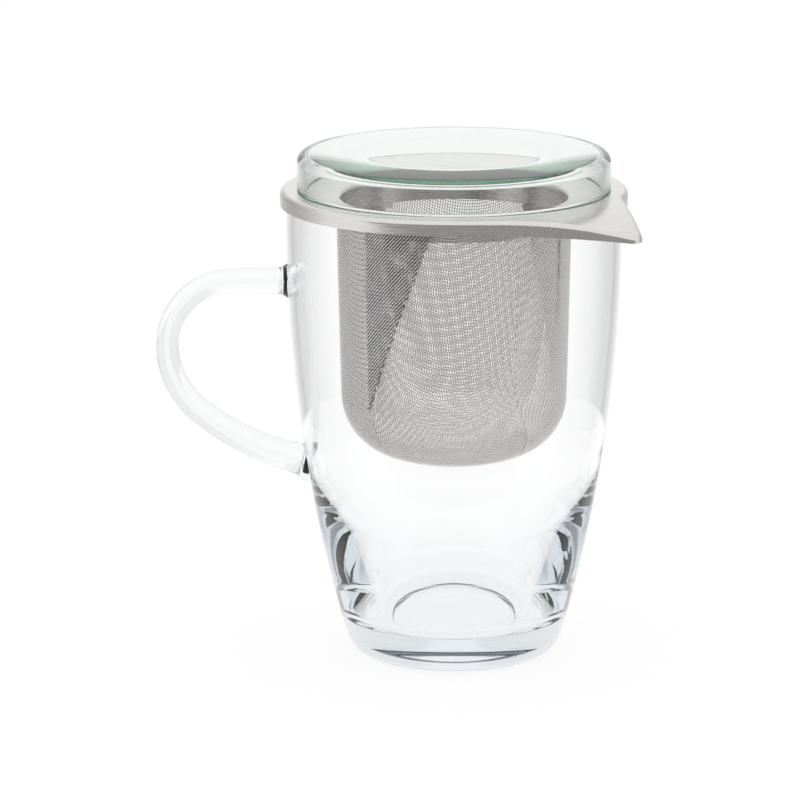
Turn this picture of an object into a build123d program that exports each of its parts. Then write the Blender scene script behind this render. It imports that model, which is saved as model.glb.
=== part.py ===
from build123d import *
from math import acos, asin, atan2, cos, degrees, radians, sin, sqrt, tan
import os

# Lidded glass tea mug with a steel infuser that hangs in it by a flange.
# Millimetres, +Z up. The origin is the centre of the mug's foot, on the table.
# The handle points to -X and the infuser's pouring lug to the front right.

# ---- clearances ----
seat_gap = 0.1            # between pieces that stand on each other
skirt_clearance = 0.9     # flange skirt round the mug's rim
cloth_gap = 0.1           # wire cloth round the steel collar

# ---- mug, blown glass with a heavy base ----
mug_radius = 42.5         # outside, at the rim
mug_height = 120.2
neck_height = 8.8         # straight part under the rim
side_arc = 397.0          # radius of the long curve from the neck to the base
base_corner = 6.3
wall = 1.9
floor_height = 9.0        # inside floor above the table
floor_radius = 20.0       # where the inside cone would meet the floor
cone_angle = 23.5         # lean of the thickened wall above the floor
floor_corner = 8.0
cone_blend = 60.0
punt_radius = 18.3        # hollow under the foot
punt_ceiling_radius = 16.0
punt_depth = 1.5

# ---- mug handle, a drawn glass rod ----
handle_drop = 23.4        # mug rim down to the centre of the upper joint
handle_reach = 13.6       # straight run out from the wall
upper_bend, upper_turn = 17.0, 90.0
lower_bend, lower_turn = 22.0, 50.0
sweep_bend, sweep_turn = 62.0, 24.0
rod_at_top_joint = 6.9    # the rod's thickness along its way
rod_at_reach = 6.3
rod_at_back = 5.6
rod_at_lower_bend = 6.4
rod_at_low_joint = 8.6

# ---- infuser rim, stamped steel sheet ----
sheet = 0.6
skirt_depth = 3.9         # flange top down to the skirt's edge
edge_round = 1.5
land_radius = 37.6        # inner edge of the flat land that carries the lid
dish_drop = 1.8           # fall of the dished part from the land to the collar
collar_radius = 28.6      # inside of the drawn collar
collar_depth = 8.4
collar_roll = 1.2
tab_width = 6.0           # tongue on the collar's lower edge
tab_depth = 1.3
tab_angle = 130.5         # counted from +X

# ---- pouring lug of the infuser rim ----
lug_angle = -43.8         # counted from +X
lug_reach = 58.8          # from the axis to the centre of the rounded tip
lug_tip = 3.5
lug_side_turn = 27.0      # where the short side meets the ring, past the lug's middle
lug_side_blend = 14.0
lug_droop_start = 38.0
lug_droop = 4.2           # fall of the lug's top at its tip
lug_edge = 1.5            # turned-down edge at the tip

# ---- infuser basket, pleated wire cloth ----
cloth = 0.45
cloth_top_drop = 3.9      # flange top down to the cloth's upper edge
basket_depth = 70.8       # flange top down to the lowest point
basket_low_radius = 28.6  # outside, where wall and bottom would meet
basket_corner = 16.0
basket_dome = 70.0        # radius of the domed bottom
pleat_depth = 55.0        # flange top down to the pleats' points
pleat_thickness = 0.7
pleat_angles = ((-137, -98), (26, 57), (154, 123))  # fold and free edge, from +X

# ---- lid, pressed glass, a shallow dish upside down ----
lid_radius = 39.7
lid_rise = 9.4            # flange top up to the middle of the lid
lid_wall = 2.2
lid_plate = 2.2
lid_level_radius = 24.0   # the top is level inside this and falls outside it
lid_fall = 0.6            # fall of the top out to the shoulder
lid_shoulder = 2.1
lid_cove = 0.8            # inside corner between plate and wall
lid_foot_round = 0.5

# ---- sizes that follow ----
collar_outer = collar_radius + sheet
flange_radius = mug_radius + skirt_clearance + sheet
flange_top = mug_height + seat_gap + sheet
neck_base = mug_height - neck_height
lid_bottom = flange_top + seat_gap
reach_past = 1.0          # how far cutting tools pass the faces they cut


def polar(radius, angle):
    return (radius * cos(radians(angle)), radius * sin(radians(angle)))


def turned(section):
    """Solid of revolution from a section whose x is the radius and y the height."""
    return revolve(Plane.XZ * section, Axis.Z)


def rounded(section, corners):
    """Rounds the named corners of a section: each is a point and a radius."""
    for point, radius in corners:
        section = fillet(section.vertices().sort_by_distance(point)[0], radius)
    return section


# ---- mug ----
def side_radius(height, inset=0.0):
    """Radius of the mug's side at a height; inset moves it in by a wall thickness."""
    arc = side_arc - inset
    drop = max(neck_base - height, 0)
    return mug_radius - side_arc + sqrt(arc ** 2 - drop ** 2)


def side_outline(bottom, inset=0.0):
    """Closed section of the mug's side from a height up to the rim."""
    top_radius = mug_radius - inset
    low = (side_radius(bottom, inset), bottom)
    shoulder = (top_radius, neck_base)
    outline = Line((0, bottom), low) + RadiusArc(low, shoulder, -(side_arc - inset))
    outline += Polyline(shoulder, (top_radius, mug_height), (0, mug_height), (0, bottom))
    return make_face(outline)


def mug_outside():
    return rounded(side_outline(0), [((side_radius(0), 0), base_corner)])


def mug_inside():
    """Hollow of the mug: a floor, a cone in the heavy base, then a wall of even thickness."""
    lean = tan(radians(cone_angle))
    top = mug_height - floor_height
    cone = Polygon((0, 0), (floor_radius, 0), (floor_radius + lean * top, top), (0, top), align=None)
    hollow = side_outline(floor_height, wall) & (Pos(0, floor_height) * cone)
    joint_height = max(v.Y for v in hollow.vertices() if v.X > floor_radius and v.Y < neck_base - 1)
    joint = (side_radius(joint_height, wall), joint_height)
    return rounded(hollow, [(joint, cone_blend), ((floor_radius, floor_height), floor_corner)])


def mug_body():
    punt = Polygon((0, 0), (punt_radius, 0), (punt_ceiling_radius, punt_depth), (0, punt_depth), align=None)
    section = mug_outside() - mug_inside() - punt
    lip = wall / 2 - 0.02
    inner_edge = (mug_radius - wall, mug_height)
    return turned(rounded(section, [((mug_radius, mug_height), lip), (inner_edge, lip)]))


# ---- handle ----
def handle_path():
    """Centre line of the rod: out from the wall, round the back and down to the wall again."""
    start = (-side_radius(mug_height) + wall, mug_height - handle_drop)
    reach = Line(start, (start[0] - wall - handle_reach, start[1]))
    upper = JernArc(reach @ 1, reach % 1, upper_bend, upper_turn)
    lower = JernArc(upper @ 1, upper % 1, lower_bend, lower_turn)
    sweep_arc = JernArc(lower @ 1, lower % 1, sweep_bend, sweep_turn)
    end, way = sweep_arc @ 1, sweep_arc % 1
    run = (-side_radius(end.Y) + wall - end.X) / way.X
    root = Line(end, end + way * run)
    return [reach, upper, lower, sweep_arc, root]


def mug_handle():
    pieces = handle_path()
    path = Plane.XZ * Wire([piece.edge() for piece in pieces])
    stations = [(pieces[0] @ 0, pieces[0] % 0, rod_at_top_joint),
                (pieces[1] @ 0, pieces[1] % 0, rod_at_reach),
                (pieces[2] @ 0, pieces[2] % 0, rod_at_back),
                (pieces[3] @ 0, pieces[3] % 0, rod_at_lower_bend),
                (pieces[4] @ 1, pieces[4] % 1, rod_at_low_joint)]
    sections = []
    for place, way, thickness in stations:
        plane = Plane(origin=(place.X, 0, place.Y), z_dir=(way.X, 0, way.Y))
        sections.append(plane * Circle(thickness / 2))
    rod = sweep(sections=sections, path=path, multisection=True)
    return rod - turned(mug_outside())


# ---- infuser rim ----
def rim_outline():
    """Plan of the flange: the ring with its lug, one long tangent side and one short one."""
    tip = Vector(*polar(lug_reach, lug_angle))
    front = lug_angle - degrees(acos((flange_radius - lug_tip) / lug_reach))
    short = Vector(*polar(flange_radius, lug_angle + lug_side_turn))
    to_tip = tip - short
    lean = degrees(atan2(to_tip.Y, to_tip.X)) + degrees(asin(lug_tip / to_tip.length)) + 90
    front_edge = [polar(flange_radius, front), tip + Vector(*polar(lug_tip, front))]
    short_edge = [tip + Vector(*polar(lug_tip, lean)), short]
    lug = Polygon((0, 0), *front_edge, *short_edge, align=None)
    plan = Circle(flange_radius) + lug + Pos(tip.X, tip.Y) * Circle(lug_tip)
    return rounded(plan, [((short.X, short.Y), lug_side_blend)])


def droop_arc(height, drop, inset=0.0):
    """Arc along the lug that starts level and has fallen by drop at the lug's tip."""
    run = lug_reach + lug_tip - lug_droop_start
    radius = (run ** 2 + drop ** 2) / (2 * drop)
    past = degrees(asin((run + reach_past) / radius))
    return JernArc((lug_droop_start, height - inset), (1, 0), radius - inset, -past)


def droop_block(bottom_free, inset):
    """Prism across the lug that is bounded by the flange's top and the skirt's edge."""
    back = -flange_radius - reach_past
    top = droop_arc(0, lug_droop, inset)
    low = droop_arc(-skirt_depth, lug_droop + lug_edge - skirt_depth)
    outline = Line((back, -inset), (lug_droop_start, -inset)) + top
    if bottom_free:
        depth = -skirt_depth - lug_droop - lug_edge - reach_past
        outline += Polyline(top @ 1, ((top @ 1).X, depth), (back, depth), (back, -inset))
    else:
        outline += Line(top @ 1, low @ 1) + low
        outline += Polyline((lug_droop_start, -skirt_depth), (back, -skirt_depth), (back, 0))
    plane = Plane(origin=(0, 0, 0), x_dir=(*polar(1, lug_angle), 0), z_dir=(*polar(1, lug_angle - 90), 0))
    return extrude(plane * make_face(outline), amount=flange_radius + lug_reach, both=True)


def rim_form(inset, bottom_free):
    """The flange as a solid block, its upper edge rounded; inset gives the inside of the sheet."""
    plan = rim_outline()
    if inset:
        plan = offset(plan, amount=-inset)
    depth = skirt_depth + lug_droop + lug_edge + 2 * reach_past
    block = extrude(Pos(0, 0, -depth) * plan, amount=depth) & droop_block(bottom_free, inset)
    top_faces = [face for face in block.faces() if face.normal_at().Z > 0.5]
    edges = [edge for face in top_faces for edge in face.edges()]
    outer = [edge for edge in edges if sum(edge.is_same(other) for other in edges) == 1]
    return fillet(outer, edge_round - inset)


def dish_and_collar():
    """The dished inner part of the flange with the collar that is drawn down from it."""
    slope = dish_drop / (land_radius - collar_radius)
    inner_corner = (collar_radius, -dish_drop)
    outer_corner = (collar_outer, -sheet - dish_drop + slope * sheet)
    section = Polygon((land_radius, 0), inner_corner, (collar_radius, -collar_depth),
                      (collar_outer, -collar_depth), outer_corner, (land_radius, -sheet), align=None)
    return turned(rounded(section, [(inner_corner, collar_roll), (outer_corner, collar_roll - sheet)]))


def collar_tab():
    tongue = Polygon((collar_radius, -collar_depth), (collar_outer, -collar_depth),
                     (collar_outer, -collar_depth - tab_depth), (collar_radius, -collar_depth - tab_depth),
                     align=None)
    wedge = Rot(0, 0, tab_angle) * Pos(collar_radius, 0, 0) * Box(collar_radius, tab_width, 4 * collar_depth)
    return turned(tongue) & wedge


def infuser_rim():
    ring = rim_form(0, False) - rim_form(sheet, True)
    ring -= Cylinder(land_radius, 4 * flange_radius)
    return Pos(0, 0, flange_top) * (ring + dish_and_collar() + collar_tab())


# ---- infuser basket ----
def basket_form(inset):
    """The cup of the basket as a solid; inset moves its surface in, a negative one out."""
    top_radius = collar_outer + cloth_gap + cloth - inset
    low_radius = basket_low_radius - inset
    dome = basket_dome - inset
    depth = -basket_depth + inset
    corner = (low_radius, depth + dome - sqrt(dome ** 2 - low_radius ** 2))
    below_collar = (top_radius, -collar_depth - tab_depth)
    outline = Polyline((0, depth), (0, -cloth_top_drop), (top_radius, -cloth_top_drop), below_collar, corner)
    outline += RadiusArc(corner, (0, depth), dome)
    return turned(rounded(make_face(outline), [(corner, basket_corner - inset)]))


def pleat(fold, free):
    """A folded-over triangle of cloth on the cup's outside, from its point up to the top edge."""
    middle = (fold + free) / 2
    radius = collar_outer + cloth_gap + cloth
    fold_side = radius * sin(radians(fold - middle))
    free_side = radius * sin(radians(free - middle))
    triangle = Polygon((fold_side, -pleat_depth), (free_side, 0), (fold_side, 0), align=None)
    plane = Plane(origin=(0, 0, 0), x_dir=(*polar(1, middle + 90), 0), z_dir=(*polar(1, middle), 0))
    return (basket_form(-pleat_thickness) - basket_form(0)) & extrude(plane * triangle, amount=2 * radius)


def infuser_basket():
    cup = basket_form(0) - basket_form(cloth)
    cup -= Pos(0, 0, -cloth_top_drop) * Cylinder(basket_low_radius - cloth, 2 * reach_past)
    for fold, free in pleat_angles:
        cup += pleat(fold, free)
    return Pos(0, 0, flange_top) * cup


# ---- lid ----
def lid():
    """Upright wall that carries a plate, level in the middle and falling a little to the shoulder."""
    height = flange_top + lid_rise - lid_bottom
    inner = lid_radius - lid_wall
    ceiling = height - lid_plate
    run = lid_radius - lid_level_radius
    crown = (run ** 2 + lid_fall ** 2) / (2 * lid_fall)
    level = (lid_level_radius, height)
    shoulder = (lid_radius, height - lid_fall)
    outline = Line((0, height), level) + RadiusArc(level, shoulder, crown)
    outline += Polyline(shoulder, (lid_radius, 0), (inner, 0), (inner, ceiling), (0, ceiling), (0, height))
    corners = [(shoulder, lid_shoulder), ((inner, ceiling), lid_cove),
               ((lid_radius, 0), lid_foot_round), ((inner, 0), lid_foot_round)]
    return Pos(0, 0, lid_bottom) * turned(rounded(make_face(outline), corners))


def main():
    os.makedirs("parts", exist_ok=True)
    nodes = {"mug_body": mug_body, "mug_handle": mug_handle, "infuser_rim": infuser_rim,
             "infuser_basket": infuser_basket, "lid": lid}
    for name, build in nodes.items():
        export_step(build(), f"parts/{name}.step")


if __name__ == "__main__":
    main()
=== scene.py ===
import math

import bmesh
import bpy
import numpy as np
from mathutils import Matrix, Vector


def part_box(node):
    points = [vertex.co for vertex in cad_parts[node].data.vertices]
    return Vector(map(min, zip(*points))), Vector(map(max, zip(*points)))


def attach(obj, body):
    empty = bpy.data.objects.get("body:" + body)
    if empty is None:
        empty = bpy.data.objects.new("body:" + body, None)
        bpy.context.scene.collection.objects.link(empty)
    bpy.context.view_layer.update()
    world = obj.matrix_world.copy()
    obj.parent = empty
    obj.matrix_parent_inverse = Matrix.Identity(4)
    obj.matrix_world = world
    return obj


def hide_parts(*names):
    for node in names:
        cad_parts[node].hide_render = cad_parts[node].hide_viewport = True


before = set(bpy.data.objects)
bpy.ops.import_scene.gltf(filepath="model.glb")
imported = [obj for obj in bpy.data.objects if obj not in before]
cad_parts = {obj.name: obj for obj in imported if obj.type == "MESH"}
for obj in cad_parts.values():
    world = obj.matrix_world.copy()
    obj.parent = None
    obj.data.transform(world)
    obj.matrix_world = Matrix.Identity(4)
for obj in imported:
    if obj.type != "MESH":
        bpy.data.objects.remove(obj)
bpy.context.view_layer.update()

# ---- Mug body ----
# Blown borosilicate glass with a heavy base. The side is one long curve that ends upright under a
# fire-polished rim; a cone of thick glass stands on the floor, and the foot is hollowed underneath.

# Sizes are in millimetres, and MM turns them into metres.
MM = 0.001
mug_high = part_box("mug_body")[1]
mug_radius = mug_high.x / MM
mug_height = mug_high.z / MM
mug_wall = 1.9
mug_side_arc = 397.0
mug_side_start = 8.0
mug_neck = mug_height - 8.8
mug_rim_round = 0.93
mug_corner = 6.3
mug_floor = 9.0
mug_floor_radius = 20.4
mug_floor_corner = 6.0
mug_cone_top = 42.5
mug_cone_blend = 60.0
mug_cone_ease = 12.0
mug_punt_radius = 18.3
mug_punt_ceiling = 16.0
mug_punt_depth = 1.5
mug_punt_ease = 0.3
mug_foot_ease = 0.4
lathe_steps = 288


def mug_side(height, inset=0.0):
    """Radius of the mug's side at a height, moved in by a wall thickness."""
    drop = max(mug_neck - height, 0.0)
    return mug_radius - mug_side_arc + math.sqrt((mug_side_arc - inset) ** 2 - drop ** 2)


def softened(corners, steps=10, straight=4.0, margin=0.15):
    """Outline through corners (r, z, radius), each rounded by an arc of its radius.

    Every run longer than straight gets a point close to each end, so that it is shaded as flat glass.
    """
    points = []
    for i, (r, z, radius) in enumerate(corners):
        corner = Vector((r, z))
        if radius <= 0:
            points.append(corner)
            continue
        back = (Vector(corners[i - 1][:2]) - corner).normalized()
        ahead = (Vector(corners[i + 1][:2]) - corner).normalized()
        half = back.angle(ahead) / 2
        centre = corner + (back + ahead).normalized() * radius / math.sin(half)
        start = corner + back * radius / math.tan(half) - centre
        end = corner + ahead * radius / math.tan(half) - centre
        turn = start.angle_signed(end)
        for k in range(steps + 1):
            points.append(centre + Matrix.Rotation(-turn * k / steps, 2) @ start)
    outline = points[:1]
    for here, there in zip(points, points[1:]):
        run = (there - here).length
        if run > straight:
            outline += [here.lerp(there, margin / run), here.lerp(there, 1 - margin / run)]
        outline.append(there)
    return outline


def shaded(mesh, sharp_angle=math.radians(40)):
    """Smooth shading that keeps edges sharper than an angle."""
    bm = bmesh.new()
    bm.from_mesh(mesh)
    bmesh.ops.recalc_face_normals(bm, faces=bm.faces)
    for face in bm.faces:
        face.smooth = True
    for edge in bm.edges:
        edge.smooth = edge.calc_face_angle(0.0) < sharp_angle
    bm.to_mesh(mesh)
    bm.free()


def placed(name, data):
    """An object of the scene that shows a mesh or holds a camera."""
    made = bpy.data.objects.new(name, data)
    bpy.context.scene.collection.objects.link(made)
    return made


def piece(name, vertices, faces):
    """A mesh object from vertices in millimetres."""
    mesh = bpy.data.meshes.new(name)
    mesh.from_pydata([Vector(v) * MM for v in vertices], [], faces)
    shaded(mesh)
    return placed(name, mesh)


def lathed(name, outline, steps=lathe_steps):
    """Solid of revolution of an outline whose first and last points lie on the axis."""
    rings = outline[1:-1]
    vertices = [(0, 0, outline[0].y), (0, 0, outline[-1].y)]
    for point in rings:
        for k in range(steps):
            angle = math.tau * k / steps
            vertices.append((point.x * math.cos(angle), point.x * math.sin(angle), point.y))
    faces = []
    last = 2 + (len(rings) - 1) * steps
    for k in range(steps):
        ahead = (k + 1) % steps
        faces.append((0, 2 + ahead, 2 + k))
        faces.append((1, last + k, last + ahead))
        for ring in range(len(rings) - 1):
            low = 2 + ring * steps
            faces.append((low + k, low + ahead, low + steps + ahead, low + steps + k))
    return piece(name, vertices, faces)


def linear(hex_colour):
    """Linear RGBA of an sRGB hex colour."""
    parts = [int(hex_colour[i:i + 2], 16) / 255 for i in (1, 3, 5)]
    return (*[c / 12.92 if c <= 0.04045 else ((c + 0.055) / 1.055) ** 2.4 for c in parts], 1.0)


def add(tree, kind, inputs=(), **settings):
    """Adds a node. Settings are its properties or input values, inputs are (input, socket or value)."""
    node = tree.nodes.new(kind)
    for key, value in settings.items():
        if hasattr(node, key):
            setattr(node, key, value)
        else:
            node.inputs[key.replace("_", " ")].default_value = value
    for key, source in inputs:
        if isinstance(source, bpy.types.NodeSocket):
            tree.links.new(source, node.inputs[key])
        else:
            node.inputs[key].default_value = source
    return node


def material(name):
    """A new material without nodes, and its node tree."""
    made = bpy.data.materials.new(name)
    made.use_nodes = True
    made.node_tree.nodes.clear()
    return made, made.node_tree


def clear_glass(name, ior, tint, depth):
    """Polished clear glass that reaches its tint where light has gone a given depth in it."""
    made, tree = material(name)
    surface = add(tree, "ShaderNodeBsdfPrincipled", Transmission_Weight=1.0, IOR=ior, Roughness=0.0,
                  Base_Color=linear("#ffffff"))
    body = add(tree, "ShaderNodeVolumeAbsorption", Color=linear(tint), Density=1 / (depth * MM))
    add(tree, "ShaderNodeOutputMaterial", [("Surface", surface.outputs[0]), ("Volume", body.outputs[0])])
    return made


side_heights = np.linspace(mug_side_start, mug_neck, 36)
inner_heights = np.linspace(mug_cone_top + mug_cone_ease, mug_neck, 26)
mug_outline = [(0, mug_punt_depth, 0), (mug_punt_ceiling, mug_punt_depth, mug_punt_ease),
               (mug_punt_radius, 0, mug_foot_ease), (mug_side(0), 0, mug_corner)]
mug_outline += [(mug_side(z), z, 0) for z in side_heights]
mug_outline += [(mug_radius, mug_height, mug_rim_round), (mug_radius - mug_wall, mug_height, mug_rim_round)]
mug_outline += [(mug_side(z, mug_wall), z, 0) for z in inner_heights[::-1]]
mug_outline += [(mug_side(mug_cone_top, mug_wall), mug_cone_top, mug_cone_blend),
                (mug_floor_radius, mug_floor, mug_floor_corner), (0, mug_floor, 0)]
mug_glass = lathed("mug_glass", softened(mug_outline))

# Colourless in the thin wall and a little blue-grey in the thick base; its edges show as dark lines.
borosilicate = clear_glass("borosilicate_glass_fire_polished", ior=1.474, tint="#e6ebef", depth=60.0)
mug_glass.data.materials.append(borosilicate)

# ---- Handle ----
# A drawn rod of the same glass, bent while hot and fused to the wall at both ends, so rod and wall
# are one piece of glass with no seam inside. It swells towards the lower joint.

handle_drop = 23.4
handle_run = 13.6
# Radius and degrees of each bend, from the top.
handle_bends = ((17.0, 90.0), (22.0, 50.0), (62.0, 24.0))
# Thickness at the wall, after the level run, after each bend and at the lower joint.
handle_thickness = (6.9, 6.3, 5.6, 6.4, 7.6, 8.6)
handle_flare = 0.9
handle_flare_length = 2.2
handle_sides = 64


def handle_line(step=0.5, fewest=4):
    """Centre line of the rod as (x, z, heading, place in handle_thickness), from wall to wall."""
    x, z, heading = -mug_radius + mug_wall / 2, mug_height - handle_drop, math.pi
    line = [(x, z, heading, 0)]

    def go(length, turn, place):
        nonlocal x, z, heading
        count = max(int(length / step), fewest)
        for k in range(count):
            heading += turn / count / 2
            x += math.cos(heading) * length / count
            z += math.sin(heading) * length / count
            heading += turn / count / 2
            line.append((x, z, heading, place + (k + 1) / count))

    go(handle_run + mug_wall / 2, 0, 0)
    for i, (radius, degrees) in enumerate(handle_bends):
        go(radius * math.radians(degrees), math.radians(degrees), 1 + i)
    root = step
    while x + math.cos(heading) * root < -mug_side(z + math.sin(heading) * root) + mug_wall / 2:
        root += step / 4
    go(root, 0, 1 + len(handle_bends))
    return line


def rod_skin(centres, radii, sides):
    """Vertices and faces of a capped rod along points in the plane y = 0."""
    vertices, faces = [], []
    for (x, z, heading, _), radius in zip(centres, radii):
        across = Vector((-math.sin(heading), 0, math.cos(heading)))
        for k in range(sides):
            angle = math.tau * k / sides
            vertices.append(Vector((x, 0, z)) + across * radius * math.cos(angle)
                            + Vector((0, radius * math.sin(angle), 0)))
    last = (len(centres) - 1) * sides
    for low in range(0, last, sides):
        for k in range(sides):
            ahead = (k + 1) % sides
            faces.append((low + k, low + ahead, low + sides + ahead, low + sides + k))
    faces.append(tuple(range(sides)))
    faces.append(tuple(range(last, last + sides)))
    return vertices, faces


line = handle_line()
thickness = np.interp([p[3] for p in line], range(len(handle_thickness)), handle_thickness)
rod_run = np.concatenate([[0], np.cumsum([math.dist(a[:2], b[:2]) for a, b in zip(line, line[1:])])])
from_wall = np.minimum(rod_run, rod_run[-1] - rod_run) - mug_wall / 2
flare = handle_flare * np.clip(1 - from_wall / handle_flare_length, 0, 1) ** 2
handle = piece("mug_handle_rod", *rod_skin(line, thickness / 2 + flare, handle_sides))
fuse = mug_glass.modifiers.new("fuse", "BOOLEAN")
fuse.operation = "UNION"
fuse.solver = "EXACT"
fuse.object = handle
bpy.context.view_layer.update()
fused = bpy.data.meshes.new_from_object(mug_glass.evaluated_get(bpy.context.evaluated_depsgraph_get()))
mug_glass.modifiers.clear()
mug_glass.data = fused
shaded(fused)
bpy.data.objects.remove(handle)
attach(mug_glass, "mug")
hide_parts("mug_body", "mug_handle")

# ---- Infuser rim ----
# One sheet of stainless steel, stamped and drawn: a flange with a skirt that goes round the mug's
# rim, a lug that droops at its tip, a shallow dish for the lid and a collar that carries the cloth.

# Real scratches are a few hundredths of a millimetre wide, too fine to show, and are drawn wider.
streak_height = 0.25
streak_length = 9.0
streak_radius = 40.0
streak_depth = 0.02
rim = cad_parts["infuser_rim"]


def brushed_steel(name, tone, roughness):
    """Stainless sheet, brushed round the axis: long fine scratches that catch the light in streaks.

    The noise is laid out by radius, height and the way round, which is drawn out to a streak's length.
    """
    made, tree = material(name)
    place = add(tree, "ShaderNodeTexCoord")
    split = add(tree, "ShaderNodeSeparateXYZ", [("Vector", place.outputs["Object"])])
    flat = add(tree, "ShaderNodeCombineXYZ", [("X", split.outputs["X"]), ("Y", split.outputs["Y"])])
    radius = add(tree, "ShaderNodeVectorMath", [(0, flat.outputs[0])], operation="LENGTH")
    azimuth = add(tree, "ShaderNodeMath", [(0, split.outputs["Y"]), (1, split.outputs["X"])],
                  operation="ARCTAN2")
    around = add(tree, "ShaderNodeMath", [(0, azimuth.outputs[0]),
                                          (1, streak_radius * MM * streak_height / streak_length)],
                 operation="MULTIPLY")
    polar = add(tree, "ShaderNodeCombineXYZ", [("X", radius.outputs["Value"]), ("Y", around.outputs[0]),
                                               ("Z", split.outputs["Z"])])
    scratches = add(tree, "ShaderNodeTexNoise", [("Vector", polar.outputs[0])],
                    Scale=1 / (streak_height * MM), Detail=4.0, Roughness=0.65)
    rough = add(tree, "ShaderNodeMapRange", [("Value", scratches.outputs[0])],
                From_Min=0.3, From_Max=0.7, To_Min=roughness - 0.08, To_Max=roughness + 0.1)
    shade = add(tree, "ShaderNodeMapRange", [("Value", scratches.outputs[0])],
                From_Min=0.3, From_Max=0.7, To_Min=0.9, To_Max=1.06)
    colour = add(tree, "ShaderNodeVectorMath", [(0, linear(tone)[:3]), ("Scale", shade.outputs[0])],
                 operation="SCALE")
    bump = add(tree, "ShaderNodeBump", [("Height", scratches.outputs[0])],
               Strength=0.5, Distance=streak_depth * MM)
    surface = add(tree, "ShaderNodeBsdfPrincipled",
                  [("Base Color", colour.outputs[0]), ("Roughness", rough.outputs[0]),
                   ("Normal", bump.outputs[0])],
                  Metallic=1.0)
    add(tree, "ShaderNodeOutputMaterial", [("Surface", surface.outputs[0])])
    return made


# A soft silvery sheen that runs round the flange, broken up by the brush's scratches.
steel = brushed_steel("stainless_sheet_finely_brushed", tone="#e0dddb", roughness=0.2)
rim.data.materials.clear()
rim.data.materials.append(steel)

# ---- Infuser basket ----
# A disc of plain-woven stainless wire cloth, drawn into a cup. Its wires run straight down and across
# at the front, back and sides; the cloth that is too much between them lies folded outside in three
# flat triangles, and in one dart at the front right.

flange_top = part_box("infuser_rim")[1].z / MM
cloth_low, cloth_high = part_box("infuser_basket")
# The wires lie as far apart as the real ones.
wire_pitch = 0.645
wire_radius = 0.115
wire_sides = 6
weave_lift = 0.155
cup_top_radius = 29.52
cup_low_radius = 28.38
cup_corner = 15.8
cup_dome = 69.8
cup_bottom = cloth_low.z / MM + 0.22
cup_top = cloth_high.z / MM
cup_straight = flange_top - 9.7
# Each panel's azimuth on the bottom and on the wall, its two creases, and how far its rows curve up.
panels = ((-90, -91.5, -131, -59, 0.028), (0, -21, -59, 35, 0.0175),
          (90, 83, 35, 130, 0.025), (180, 181, 130, 229, 0.028))
panel_half = cup_top_radius * math.pi / 4
panel_foot = (16.0, 36.0)
panel_spread = 1.8
crease_overlap = 0.001
row_stretch = 1.2
column_lean = 0.158
# Azimuth of each pleat's fold and of its free edge, and which of its two families of wires lies on top.
pleats = ((-137, -98, 0), (26, 57, 0), (154, 123, 1))
# Number, tilt in degrees and painted light level of a pleat's two layers; the inner layer's low level is
# painted shade.
pleat_layers = ((1, 8, 0.35), (2, 2, 1.0))
pleat_point = flange_top - 55.0
pleat_step = 0.44
pleat_bias = 0.1
pleat_lift = weave_lift - 0.07
pleat_spread = 1.6
dart_azimuth = -27.2
dart_point = flange_top - 34.0
dart_width = 1.3
dart_wires_each_way = 4
dart_spacing = 1.7 * wire_radius
dart_margin = 0.3
dart_depth = 0.35


def cup_profile(dome_steps=24, corner_steps=40):
    """Fine table of the cup's middle surface: run from the bottom's centre, radius, height."""
    def dome_height(r):
        return cup_bottom + cup_dome - math.sqrt(cup_dome ** 2 - r ** 2)

    dome_radii = [cup_low_radius * k / dome_steps for k in range(dome_steps // 2)]
    outline = [(r, dome_height(r), 0) for r in dome_radii]
    outline += [(cup_low_radius, dome_height(cup_low_radius), cup_corner), (cup_top_radius, cup_straight, 0),
                (cup_top_radius, cup_top, 0)]
    points = np.array([tuple(p) for p in softened(outline, corner_steps)])
    run = np.concatenate([[0], np.cumsum(np.hypot(*np.diff(points, axis=0).T))])
    return run, points[:, 0], points[:, 1]


cup_run, cup_r, cup_z = cup_profile()


def normal_at(points):
    """Outward normals of the cup at points near its surface."""
    radius = np.hypot(points[:, 0], points[:, 1])
    wall = points[:, 2] > cup_z[0] + cup_corner
    run = np.where(wall, np.interp(points[:, 2], cup_z, cup_run), np.interp(radius, cup_r, cup_run))
    out_r = np.interp(run, cup_run, np.gradient(cup_z, cup_run))
    out_z = -np.interp(run, cup_run, np.gradient(cup_r, cup_run))
    safe = np.maximum(radius, 1e-6)
    normals = np.stack([points[:, 0] / safe * out_r, points[:, 1] / safe * out_r, out_z], axis=1)
    return normals / np.linalg.norm(normals, axis=1)[:, None]


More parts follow.
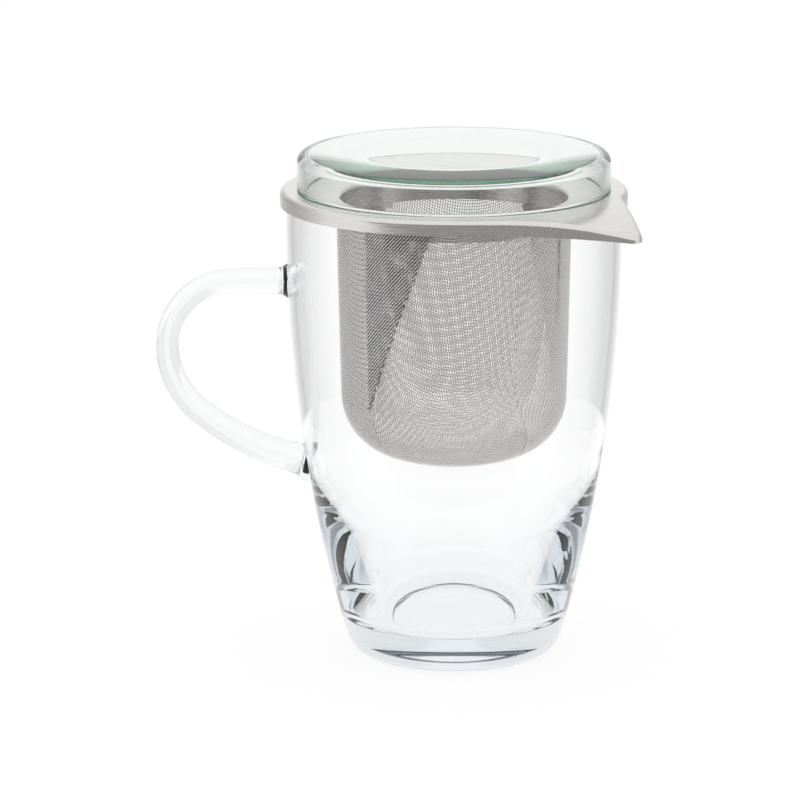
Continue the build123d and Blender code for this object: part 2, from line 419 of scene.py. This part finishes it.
def wires(name, chains, lifts, painted_light=1.0):
    """One mesh of wires. A chain is an array of points, lifts are their shifts along the outward normal.

    The attribute holds painted light: the given level on the crowns of the weave, falling to 0 in its
    crossings as painted shade between the wires.
    """
    vertices, faces, painted_weave_lights = [], [], []
    base = 0
    ring = np.arange(wire_sides)
    turn = math.tau * (ring + 0.5) / wire_sides
    for points, lift in zip(chains, lifts):
        count = len(points)
        out = normal_at(points)
        centre = points + out * lift[:, None]
        way = np.gradient(centre, axis=0)
        way /= np.linalg.norm(way, axis=1)[:, None]
        side = np.cross(way, out)
        side /= np.linalg.norm(side, axis=1)[:, None]
        up = np.cross(side, way)
        skin = (centre[:, None, :] + wire_radius * (np.cos(turn)[None, :, None] * up[:, None, :]
                                                    + np.sin(turn)[None, :, None] * side[:, None, :]))
        vertices.append(skin.reshape(-1, 3))
        # Painted light: the colour is scaled by the wire's height in the weave, so the crossings carry
        # painted shade.
        rise = abs(lift[:, None] + wire_radius * np.cos(turn)[None, :])
        painted_weave_lights.append((rise / (weave_lift + wire_radius) * painted_light).ravel())
        start = base + np.arange(count - 1)[:, None] * wire_sides
        low = start + ring[None, :]
        ahead = start + (ring[None, :] + 1) % wire_sides
        faces.append(np.stack([low, ahead, ahead + wire_sides, low + wire_sides], axis=-1).reshape(-1, 4))
        base += count * wire_sides
    vertices = np.concatenate(vertices) * MM
    faces = np.concatenate(faces)
    mesh = bpy.data.meshes.new(name)
    mesh.vertices.add(len(vertices))
    mesh.vertices.foreach_set("co", vertices.ravel())
    mesh.loops.add(faces.size)
    mesh.loops.foreach_set("vertex_index", faces.ravel())
    mesh.polygons.add(len(faces))
    mesh.polygons.foreach_set("loop_start", np.arange(len(faces)) * 4)
    mesh.polygons.foreach_set("loop_total", np.full(len(faces), 4))
    mesh.polygons.foreach_set("use_smooth", np.ones(len(faces), dtype=bool))
    mesh.attributes.new("painted_weave_light", "FLOAT", "POINT").data.foreach_set("value", np.concatenate(painted_weave_lights))
    mesh.update()
    mesh.validate()
    return placed(name, mesh)


def around_axis(radius, azimuth, height):
    """Points at a radius, azimuth and height about the mug's axis."""
    return np.stack([radius * np.cos(azimuth), radius * np.sin(azimuth), height], axis=-1)


def dart_gap(height):
    """Width of the dart's slit, which opens from its point up to the rim."""
    return dart_width * (height - dart_point) / (cup_top - dart_point)


def runs_of(held):
    """Start and end of every run of two or more neighbours that are held."""
    edges = np.flatnonzero(np.diff(np.concatenate([[0], held.astype(int), [0]])))
    return [(start, end) for start, end in zip(edges[::2], edges[1::2]) if end - start > 1]


def over_under(count):
    """1 at the crossings where a wire passes over and -1 where it passes under."""
    return count % 2 * 2 - 1


def panel_places(foot, centre, first, last, row_rise):
    """Where the crossings of one quarter of the cloth lie, columns over the first index and rows the next.

    The panel stands square on the bottom at one azimuth and on the wall at another, between two creases.
    """
    columns = int(panel_half * panel_spread / wire_pitch)
    rows = int(cup_run[-1] / wire_pitch)
    i, j = np.meshgrid(np.arange(-columns, columns) + 0.5, np.arange(rows) + 0.5, indexing="ij")
    across, along = i * wire_pitch, j * wire_pitch
    share = np.clip((along - panel_foot[0]) / (panel_foot[1] - panel_foot[0]), 0, 1)
    wall = share ** 2 * (3 - 2 * share)
    beside = across - column_lean * np.maximum(along - panel_foot[0], 0)
    climb = panel_half + (along - panel_half) * row_stretch + row_rise * beside ** 2
    run = (1 - wall) * np.hypot(across, along) + wall * climb
    height = np.interp(run, cup_run, cup_z)
    angle = ((1 - wall) * (math.radians(foot) + np.arctan2(across, along))
             + wall * (math.radians(centre) + beside / cup_top_radius))
    creases = [(1 - wall) * math.radians(foot + side) + wall * math.radians(crease)
               for side, crease in ((-45, first), (45, last))]
    kept = (angle >= creases[0] - crease_overlap) & (angle <= creases[1] + crease_overlap)
    kept &= run < cup_run[-1]
    kept &= abs(angle - math.radians(dart_azimuth)) * cup_top_radius > dart_gap(height) / 2
    return around_axis(np.interp(run, cup_run, cup_r), angle, height), kept


def woven(places, kept, side):
    """The wires along the first index as chains and lifts; side is 1 or -1 and sets which wires go over."""
    chains, lifts = [], []
    for column in range(places.shape[1]):
        for start, end in runs_of(kept[:, column]):
            chains.append(places[start:end, column])
            lifts.append(side * over_under(np.arange(start, end) + column) * weave_lift)
    return chains, lifts


def pleat_wires(fold, free, upper, layer, tilt):
    """The wires of one layer of a pleat, at 45 degrees to its middle line and cut to its triangle."""
    middle = math.radians((fold + free) / 2)
    reach = cup_top_radius * math.radians(abs(free - fold) / 2)
    lean = 1 if free > fold else -1
    tall = cup_top - pleat_point
    count = int(tall * pleat_spread / wire_pitch)
    steps = np.arange(-count, count + 1)
    chains, lifts = [], []
    for family, side in ((0, -1), (1, 1)):
        angle = math.radians(45 + tilt + 90 * family)
        way = np.array([math.cos(angle), math.sin(angle)])
        across = np.array([-way[1], way[0]])
        bias = pleat_bias if family == upper else -pleat_bias
        for k in steps:
            at = way[None, :] * (steps[:, None] * wire_pitch) + across[None, :] * (k * wire_pitch)
            edge_fold = -reach * lean
            edge_free = edge_fold + 2 * reach * lean * (at[:, 1] / tall)
            low, high = np.minimum(edge_fold, edge_free), np.maximum(edge_fold, edge_free)
            inside = (at[:, 1] > 0) & (at[:, 1] < tall) & (at[:, 0] > low) & (at[:, 0] < high)
            for start, end in runs_of(inside):
                z = pleat_point + at[start:end, 1]
                r = np.interp(z, cup_z, cup_r) + layer * pleat_step
                chains.append(around_axis(r, middle + at[start:end, 0] / cup_top_radius, z))
                lifts.append(side * over_under(steps[start:end] + k) * pleat_lift + bias)
    return chains, lifts


def dart_wires():
    """The dart's fold, seen through its slit: wires that run down side by side just under the cloth."""
    chains, lifts = [], []
    for k in np.arange(-dart_wires_each_way, dart_wires_each_way + 1) * dart_spacing:
        z = np.arange(cup_top, dart_point, -wire_pitch)
        z = z[abs(k) < dart_gap(z) / 2 + dart_margin]
        if len(z) > 1:
            r = np.interp(z, cup_z, cup_r) - dart_depth
            chains.append(around_axis(r, math.radians(dart_azimuth) + k / cup_top_radius, z))
            lifts.append(np.zeros(len(z)))
    return chains, lifts


def woven_wire(name, wear_size):
    """Drawn stainless wire, in its own colour on the crowns of the weave and darkened by painted shade
    towards the crossings between them.
    """
    made, tree = material(name)
    place = add(tree, "ShaderNodeTexCoord")
    wear = add(tree, "ShaderNodeTexNoise", [("Vector", place.outputs["Object"])],
               Scale=1 / (wear_size * MM), Detail=2.0)
    rough = add(tree, "ShaderNodeMapRange", [("Value", wear.outputs[0])], To_Min=0.1, To_Max=0.2)
    painted_weave_light = add(tree, "ShaderNodeAttribute", attribute_name="painted_weave_light")
    # Painted shade: the base colour falls almost to black where the painted light is low, in the crossings,
    # the inner pleat layers and the dart.
    shade = add(tree, "ShaderNodeMapRange", [("Value", painted_weave_light.outputs["Fac"])],
                From_Min=0.2, From_Max=0.6, To_Min=0.02, To_Max=1.0)
    colour = add(tree, "ShaderNodeVectorMath", [(0, linear("#f8f5f4")[:3]), ("Scale", shade.outputs[0])],
                 operation="SCALE")
    surface = add(tree, "ShaderNodeBsdfPrincipled", [("Base Color", colour.outputs[0]),
                                                     ("Roughness", rough.outputs[0])], Metallic=0.78)
    add(tree, "ShaderNodeOutputMaterial", [("Surface", surface.outputs[0])])
    return made


# A silvery grey cloth of bright dots on dark, the dark partly painted shade in the crossings; striped where
# it lies double, and darker there from painted shade on the inner pleat layers and the dart's fold.
wire = woven_wire("stainless_wire_cloth_plain_woven", wear_size=2.0)
cloth_pieces = []
for number, panel in enumerate(panels, 1):
    places, kept = panel_places(*panel)
    chains, lifts = woven(places, kept, 1)
    more, more_lifts = woven(places.swapaxes(0, 1), kept.T, -1)
    cloth_pieces.append(wires(f"cloth_panel_{number}", chains + more, lifts + more_lifts))
for number, pleat in enumerate(pleats, 1):
    # The inner layer of each pleat is darkened with painted shade.
    for layer, tilt, painted_light in pleat_layers:
        chains, lifts = pleat_wires(*pleat, layer, tilt)
        cloth_pieces.append(wires(f"cloth_pleat_{number}_layer_{layer}", chains, lifts, painted_light))
# The dart's fold carries no painted light: it is painted dark as the shade inside the fold.
cloth_pieces.append(wires("cloth_dart", *dart_wires(), painted_light=0.0))

for cloth in cloth_pieces:
    cloth.data.materials.append(wire)
    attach(cloth, "infuser")
    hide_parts("infuser_basket")

# ---- Lid ----
# Pressed clear glass, a little greener than the mug: a shallow dish that lies upside down on the
# flange, and serves as the infuser's coaster when it is turned over.

lid_low, lid_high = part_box("lid")
lid_radius = lid_high.x / MM
lid_bottom = lid_low.z / MM
lid_top = lid_high.z / MM
lid_wall = 2.2
lid_plate = 2.2
lid_level_radius = 24.0
lid_fall = 0.6
lid_shoulder = 2.1
lid_shoulder_reach = 1.3 * lid_shoulder
lid_cove = 0.8
lid_foot = 0.5
lid_inner = lid_radius - lid_wall
lid_ceiling = lid_top - lid_plate
lid_crown = ((lid_radius - lid_level_radius) ** 2 + lid_fall ** 2) / (2 * lid_fall)
lid_outline = [(0, lid_ceiling, 0), (lid_inner, lid_ceiling, lid_cove), (lid_inner, lid_bottom, lid_foot),
               (lid_radius, lid_bottom, lid_foot), (lid_radius, lid_top - lid_fall, lid_shoulder)]
for r in np.linspace(lid_radius - lid_shoulder_reach, lid_level_radius, 9):
    fall = lid_crown - math.sqrt(lid_crown ** 2 - (r - lid_level_radius) ** 2)
    lid_outline.append((r, lid_top - fall, 0))
lid_outline.append((0, lid_top, 0))
lid_glass = lathed("lid_glass", softened(lid_outline))

# Clear from above and green along its front edge, where the light has run through the whole plate.
lid_soda_lime = clear_glass("soda_lime_glass_pressed", ior=1.5, tint="#74be9f", depth=42.0)
lid_glass.data.materials.append(lid_soda_lime)
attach(lid_glass, "lid")
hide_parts("lid")

# ---- Table ----
# A round white laminate top, just wide enough that the mug's glass shows the dark gap beyond its edge.
# It glows a little, so that it is white to the eye and keeps only a soft shadow.

table_radius = 220.0
table_sides = 96
table_glow = 0.87
table_edge = []
for k in range(table_sides):
    turned = math.tau * k / table_sides
    table_edge.append((table_radius * math.cos(turned), table_radius * math.sin(turned), 0))
table = piece("table", table_edge, [tuple(range(table_sides))])

# Paper white without gloss.
table_white, tree = material("white_laminate_matt")
glow = add(tree, "ShaderNodeEmission", Color=linear("#ffffff"), Strength=table_glow)
matt = add(tree, "ShaderNodeBsdfDiffuse", Color=linear("#6f6f6f"))
both = add(tree, "ShaderNodeAddShader", [(0, glow.outputs[0]), (1, matt.outputs[0])])
add(tree, "ShaderNodeOutputMaterial", [("Surface", both.outputs[0])])
table.data.materials.append(table_white)

# ---- Studio ----
# White walls all round, dim where the camera stands and in a gap at the back on either side. The eye
# and the light that comes straight through glass find them white; reflections show the dim sides.

world = bpy.data.worlds.new("studio")
bpy.context.scene.world = world
world.use_nodes = True
tree = world.node_tree
tree.nodes.clear()
way = add(tree, "ShaderNodeTexCoord")
path = add(tree, "ShaderNodeLightPath")
never_mirrored = 0.5
white_through_glass = 0.88


def dim_side(azimuth, edge, core, strength, flatness=1):
    """Level of the studio, 1 but for one dim side at an azimuth from the camera's side.

    The side begins at edge degrees from its middle and has its full strength within core degrees. A
    flatness over 1 makes it that much wider than it is high.
    """
    squeezed = add(tree, "ShaderNodeVectorMath", [(0, way.outputs["Generated"]), (1, (1, 1, flatness))],
                   operation="MULTIPLY")
    unit = add(tree, "ShaderNodeVectorMath", [(0, squeezed.outputs[0])], operation="NORMALIZE")
    middle = (math.sin(math.radians(azimuth)), -math.cos(math.radians(azimuth)), 0)
    facing = add(tree, "ShaderNodeVectorMath", [(0, unit.outputs[0]), (1, middle)], operation="DOT_PRODUCT")
    level = add(tree, "ShaderNodeMapRange", [("Value", facing.outputs["Value"])],
                From_Min=math.cos(math.radians(edge)), From_Max=math.cos(math.radians(core)),
                To_Min=1.0, To_Max=strength)
    return level.outputs[0]


camera_side = dim_side(azimuth=5, edge=65.3, core=61.0, strength=0.34, flatness=4)
left_gap = dim_side(azimuth=-133, edge=42, core=12, strength=0.52)
right_gap = dim_side(azimuth=133, edge=42, core=12, strength=0.52)
gaps = add(tree, "ShaderNodeMath", [(0, left_gap), (1, right_gap)], operation="MULTIPLY")
unmirrored = add(tree, "ShaderNodeMath", [(0, path.outputs["Glossy Depth"]), (1, never_mirrored)],
                 operation="LESS_THAN")
straight = add(tree, "ShaderNodeMath", [(0, path.outputs["Is Transmission Ray"]),
                                        (1, unmirrored.outputs[0])], operation="MULTIPLY")
pale = add(tree, "ShaderNodeMath", [(0, straight.outputs[0]), (1, white_through_glass)],
           operation="MULTIPLY")
beside = add(tree, "ShaderNodeMath", [(0, gaps.outputs[0]), (1, pale.outputs[0])], operation="MAXIMUM")
before = add(tree, "ShaderNodeMath", [(0, camera_side), (1, straight.outputs[0])], operation="MAXIMUM")
sides = add(tree, "ShaderNodeMath", [(0, beside.outputs[0]), (1, before.outputs[0])], operation="MULTIPLY")
level = add(tree, "ShaderNodeMath", [(0, path.outputs["Is Camera Ray"]), (1, sides.outputs[0])],
            operation="MAXIMUM")
sky = add(tree, "ShaderNodeBackground", [("Strength", level.outputs[0])], Color=linear("#ffffff"))
add(tree, "ShaderNodeOutputWorld", [("Surface", sky.outputs[0])])

# ---- Camera ----
# A long lens about a metre away, looking a little down on the lid with the handle square to its left.
# Light may bounce often, because it goes round and round inside the thick glass before it comes out.

camera_distance = 1.1
camera_aim_height = 0.06
camera_rise = math.radians(13.9)
sight = bpy.data.cameras.new("camera")
sight.sensor_width = 36.0
sight.lens = 193.15
sight.shift_x = -0.0675
sight.shift_y = 0.0262
camera = placed("camera", sight)
camera.location = (0, -camera_distance * math.cos(camera_rise),
                   camera_aim_height + camera_distance * math.sin(camera_rise))
camera.rotation_euler = (math.pi / 2 - camera_rise, 0, 0)
bpy.context.scene.camera = camera
bpy.context.scene.view_settings.view_transform = "Standard"
rays = bpy.context.scene.cycles
rays.max_bounces = 32
rays.glossy_bounces = 24
rays.transmission_bounces = 24
